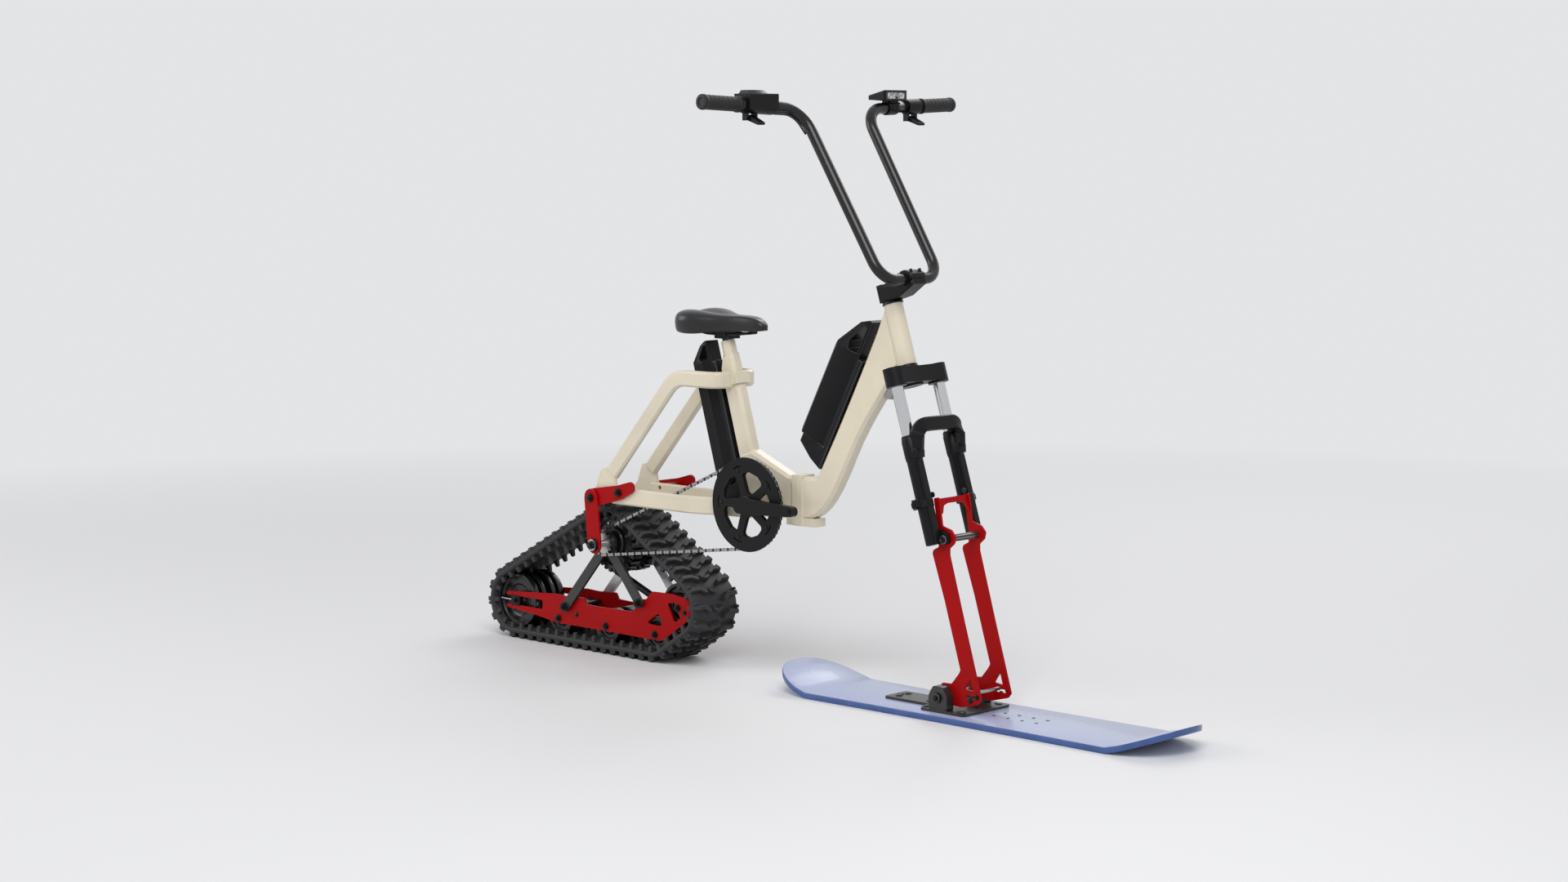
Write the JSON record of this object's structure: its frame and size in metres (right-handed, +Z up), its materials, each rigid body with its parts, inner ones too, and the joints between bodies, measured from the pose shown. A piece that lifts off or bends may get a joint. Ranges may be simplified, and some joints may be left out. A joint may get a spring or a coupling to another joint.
{
  "type": "ski bike",
  "caption": "Step-through electric ski bike with a snowboard under its telescopic fork and a driven rubber track kit in place of the rear wheel.",
  "frame": {"origin": "centre of the bounding box in plan, on the ground under the board and the track", "axes": "+X forward, +Y to the rider's left, +Z up"},
  "size_m": [2.2122, 0.8412, 1.3989],
  "materials": {
    "frame_paint": "satin cream paint",
    "red_paint": "satin dark red paint",
    "black_metal": "satin black coating",
    "black_plastic": "matt black plastic",
    "chrome": "polished chrome",
    "steel": "plain steel",
    "rubber": "dark grey rubber",
    "board": "gloss pale lavender topsheet",
    "saddle_cover": "black grained cover"
  },
  "bodies": {
    "frame": {"front_frame": "frame_paint", "rear_frame": "frame_paint", "rear_hoop": "frame_paint", "chain_stay_right": "frame_paint", "chain_stay_left": "frame_paint", "headset_upper": "black_metal", "headset_lower": "black_metal", "front_battery_mount": "black_plastic", "rear_battery": "black_plastic", "rear_battery_mount": "black_plastic", "chain": "steel", "link_upper_right": "red_paint", "link_upper_left": "red_paint", "link_lower_right": "red_paint", "link_lower_left": "red_paint"},
    "seat": {"seatpost": "black_metal", "saddle_rails": "steel", "saddle": "saddle_cover"},
    "battery": {"front_battery": "black_plastic"},
    "steering": {"fork_crown": "black_metal", "stem": "black_metal", "handlebar": "black_metal", "grip_right": "black_plastic", "grip_left": "black_plastic", "control_box": "black_plastic", "left_clamp": "black_metal", "display": "black_plastic", "control_cable": "rubber", "stanchion_right": "chrome", "stanchion_left": "chrome"},
    "throttle": {"throttle_lever": "black_plastic"},
    "left_hand_lever": {"left_lever": "black_metal"},
    "fork_leg": {"fork_lowers": "black_metal", "ski_arm_right": "red_paint", "ski_arm_left": "red_paint", "ski_arm_bridge": "red_paint", "cross_axle": "steel", "tie_rod": "black_metal", "ski_pivot_bolt": "steel"},
    "ski": {"base_plate": "black_metal", "snowboard": "board"},
    "crank": {"crank_axle": "steel", "chainring": "steel", "chain_guard": "black_metal", "crank_arm_right": "black_metal", "crank_arm_left": "black_metal"},
    "drive": {"drive_sprocket": "steel", "drive_motor": "black_metal"},
    "track": {"side_plate_right": "red_paint", "side_plate_left": "red_paint", "strut_frame_right": "steel", "strut_frame_left": "steel", "centre_strut": "black_metal", "belt": "rubber"},
    "rear_wheel": {"rear_idler": "black_metal"},
    "front_wheel": {"front_idler": "black_metal"},
    "road_wheel_1": {"bogie_1": "black_metal"},
    "road_wheel_2": {"bogie_2": "black_metal"},
    "road_wheel_3": {"bogie_3": "black_metal"}
  },
  "joints": [
    {"name": "steering", "type": "hinge", "parent": "frame", "child": "steering", "pos_m": [0.31508, 0, 0.7775], "axis": [-0.299, 0, 0.9542], "range_deg": [-40, 40]},
    {"name": "throttle_pivot", "type": "hinge", "parent": "steering", "child": "throttle", "pos_m": [0.08465, -0.26912, 1.33389], "axis": [0, 1, 0], "range_deg": [0, 25], "stiffness_Nm_per_rad": 0.3, "springref_deg": -11.46},
    {"name": "left_lever_pivot", "type": "hinge", "parent": "steering", "child": "left_hand_lever", "pos_m": [0.08462, 0.27112, 1.33397], "axis": [0, -1, 0], "range_deg": [0, 20], "stiffness_Nm_per_rad": 0.5, "springref_deg": -11.46},
    {"name": "fork_slide", "type": "slide", "parent": "steering", "child": "fork_leg", "axis": [-0.299, 0, 0.9542], "range_m": [0, 0.06], "stiffness_N_per_m": 6000, "springref_m": -0.06},
    {"name": "ski_pitch", "type": "hinge", "parent": "fork_leg", "child": "ski", "pos_m": [0.47508, 0, 0.047], "axis": [0, 1, 0], "range_deg": [-7, 20]},
    {"name": "seatpost_slide", "type": "slide", "parent": "frame", "child": "seat", "axis": [-0.2804, 0, 0.9599], "range_m": [0, 0.08]},
    {"name": "battery_slide", "type": "slide", "parent": "frame", "child": "battery", "axis": [0.4725, 0, 0.8813], "range_m": [0, 0.025]},
    {"name": "crank_spin", "type": "hinge", "parent": "frame", "child": "crank", "pos_m": [-0.13392, 0, 0.426], "axis": [0, 1, 0], "continuous": true},
    {"name": "drive_spin", "type": "hinge", "parent": "frame", "child": "drive", "pos_m": [-0.64592, 0.025, 0.283], "axis": [0, 1, 0], "continuous": true},
    {"name": "track_pitch", "type": "hinge", "parent": "frame", "child": "track", "pos_m": [-0.64592, 0.025, 0.283], "axis": [0, 1, 0], "range_deg": [-12, 12]},
    {"name": "rear_wheel_spin", "type": "hinge", "parent": "track", "child": "rear_wheel", "pos_m": [-1.00992, 0.025, 0.0963], "axis": [0, 1, 0], "continuous": true},
    {"name": "front_wheel_spin", "type": "hinge", "parent": "track", "child": "front_wheel", "pos_m": [-0.40392, 0.025, 0.144], "axis": [0, 1, 0], "continuous": true},
    {"name": "road_wheel_1_spin", "type": "hinge", "parent": "track", "child": "road_wheel_1", "pos_m": [-0.48592, 0.025, 0.0683], "axis": [0, 1, 0], "continuous": true},
    {"name": "road_wheel_2_spin", "type": "hinge", "parent": "track", "child": "road_wheel_2", "pos_m": [-0.66492, 0.025, 0.0683], "axis": [0, 1, 0], "continuous": true},
    {"name": "road_wheel_3_spin", "type": "hinge", "parent": "track", "child": "road_wheel_3", "pos_m": [-0.84392, 0.025, 0.0683], "axis": [0, 1, 0], "continuous": true}
  ],
  "couplings": [
    {"joint": "drive_spin", "follows": "crank_spin", "ratio": 3.7143},
    {"joint": "rear_wheel_spin", "follows": "crank_spin", "ratio": 4.1918},
    {"joint": "front_wheel_spin", "follows": "crank_spin", "ratio": 4.8103},
    {"joint": "road_wheel_1_spin", "follows": "crank_spin", "ratio": 6.9864},
    {"joint": "road_wheel_2_spin", "follows": "crank_spin", "ratio": 6.9864},
    {"joint": "road_wheel_3_spin", "follows": "crank_spin", "ratio": 6.9864}
  ]
}
